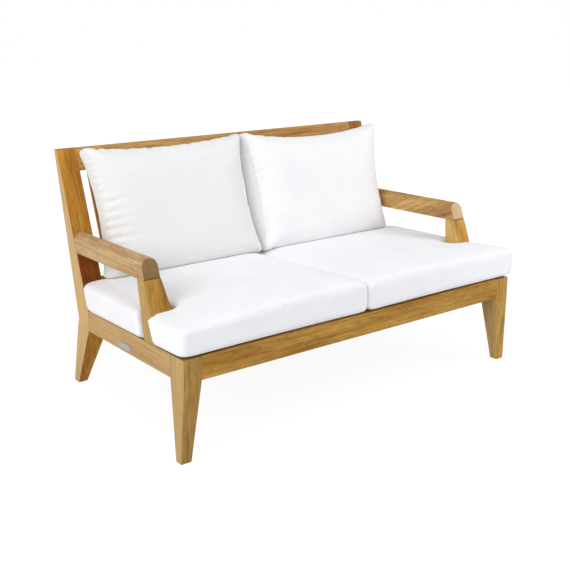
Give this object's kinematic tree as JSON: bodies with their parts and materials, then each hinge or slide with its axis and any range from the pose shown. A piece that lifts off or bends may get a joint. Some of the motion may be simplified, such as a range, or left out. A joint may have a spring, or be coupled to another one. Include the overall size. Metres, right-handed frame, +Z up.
{
  "type": "patio loveseat",
  "caption": "Teak garden loveseat with raked slatted back, flat arms on leaning posts, and loose seat and back cushions that lift off.",
  "frame": {"origin": "on the floor under the middle of the whole piece, half way along its width and half way along its depth", "axes": "+X to the sitter-facing viewer's right along the width, +Y from the front to the back, +Z up"},
  "size_m": [1.5464, 0.9033, 0.8927],
  "materials": {
    "teak": "smooth sanded, unoiled",
    "canvas": "matt woven outdoor canvas",
    "filling": "open foam, matt",
    "zip_tape": "matt woven tape",
    "screw_steel": "plain",
    "plate_steel": "fine brushed"
  },
  "bodies": {
    "frame": {"arm_left": "teak", "arm_post_left": "teak", "arm_post_right": "teak", "arm_right": "teak", "back_lower_rail": "teak", "back_slat_01": "teak", "back_slat_02": "teak", "back_slat_03": "teak", "back_slat_04": "teak", "back_slat_05": "teak", "back_slat_06": "teak", "back_slat_07": "teak", "back_slat_08": "teak", "back_slat_09": "teak", "back_slat_10": "teak", "back_slat_11": "teak", "back_slat_12": "teak", "back_slat_13": "teak", "back_slat_14": "teak", "back_slat_15": "teak", "back_slat_16": "teak", "back_slat_17": "teak", "back_top_rail": "teak", "frame_dowels": "teak", "front_leg_left": "teak", "front_leg_right": "teak", "front_rail": "teak", "rail_plate": "plate_steel", "rail_plate_pins": "plate_steel", "rear_leg_left": "teak", "rear_leg_right": "teak", "rear_rail": "teak", "seat_bearer_left": "teak", "seat_bearer_right": "teak", "seat_cleat_left": "teak", "seat_cleat_right": "teak", "seat_slat_01": "teak", "seat_slat_02": "teak", "seat_slat_03": "teak", "seat_slat_04": "teak", "seat_slat_05": "teak", "seat_slat_06": "teak", "seat_slat_07": "teak", "seat_slat_08": "teak", "seat_slat_09": "teak", "seat_slat_screws": "screw_steel", "side_rail_left": "teak", "side_rail_right": "teak"},
    "seat_cushion_left": {"seat_core_left": "filling", "seat_cover_left": "canvas", "seat_zip_left": "zip_tape"},
    "back_cushion_left": {"back_core_left": "filling", "back_cover_left": "canvas", "back_zip_left": "zip_tape"},
    "seat_cushion_right": {"seat_core_right": "filling", "seat_cover_right": "canvas", "seat_zip_right": "zip_tape"},
    "back_cushion_right": {"back_core_right": "filling", "back_cover_right": "canvas", "back_zip_right": "zip_tape"}
  },
  "joints": [
    {"name": "seat_cushion_left_lift", "type": "slide", "parent": "frame", "child": "seat_cushion_left", "axis": [0, 0.2741, 0.9617], "range_m": [0, 0.05]},
    {"name": "back_cushion_left_lift", "type": "slide", "parent": "seat_cushion_left", "child": "back_cushion_left", "axis": [0, 0, 1], "range_m": [0, 0.4]},
    {"name": "seat_cushion_right_lift", "type": "slide", "parent": "frame", "child": "seat_cushion_right", "axis": [0, 0.2741, 0.9617], "range_m": [0, 0.05]},
    {"name": "back_cushion_right_lift", "type": "slide", "parent": "seat_cushion_right", "child": "back_cushion_right", "axis": [0, 0, 1], "range_m": [0, 0.4]}
  ]
}
